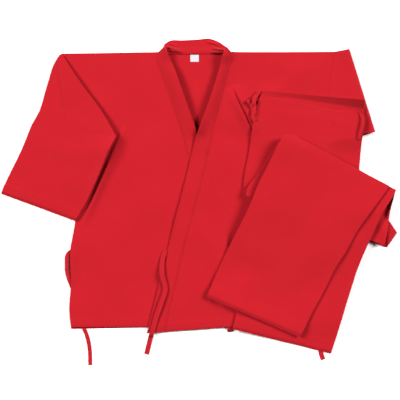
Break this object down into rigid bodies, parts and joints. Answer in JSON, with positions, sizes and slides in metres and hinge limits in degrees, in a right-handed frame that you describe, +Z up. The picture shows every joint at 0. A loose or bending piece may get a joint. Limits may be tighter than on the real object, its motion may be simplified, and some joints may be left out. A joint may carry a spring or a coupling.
{
  "type": "karate gi, jacket and trousers laid flat",
  "caption": "Red cotton karate gi laid flat: a crossed jacket, with a sleeve turned down and the other folded under, and its trousers folded on the lower corner.",
  "frame": {"origin": "centre of the outline's box, on the surface that the set lies on", "axes": "+X to the wearer's left along the span of the sleeves, +Y from the hem to the collar, +Z up from the surface"},
  "size_m": [1.0283, 0.8482, 0.0324],
  "materials": {
    "cotton": "plain-woven matt cotton, red",
    "tape": "folded cotton tape, red",
    "label": "woven satin label, white and bare"
  },
  "bodies": {
    "root": {"jacket_back": "cotton", "neck_label": "label", "collar_back": "cotton", "tie_side_right": "tape", "jacket_front_right": "cotton", "lapel_right": "cotton", "tie_inner": "tape", "tie_side_left": "tape", "jacket_front_left": "cotton", "lapel_left": "cotton", "sleeve_left": "cotton", "tie_lapel": "tape", "sleeve_right": "cotton", "trousers_seat": "cotton", "trousers_waistband": "cotton", "waist_tape_left": "tape", "waist_tape_right": "tape", "trousers_fold": "cotton", "trousers_leg_lower": "cotton", "trousers_leg_upper": "cotton"}
  },
  "joints": []
}
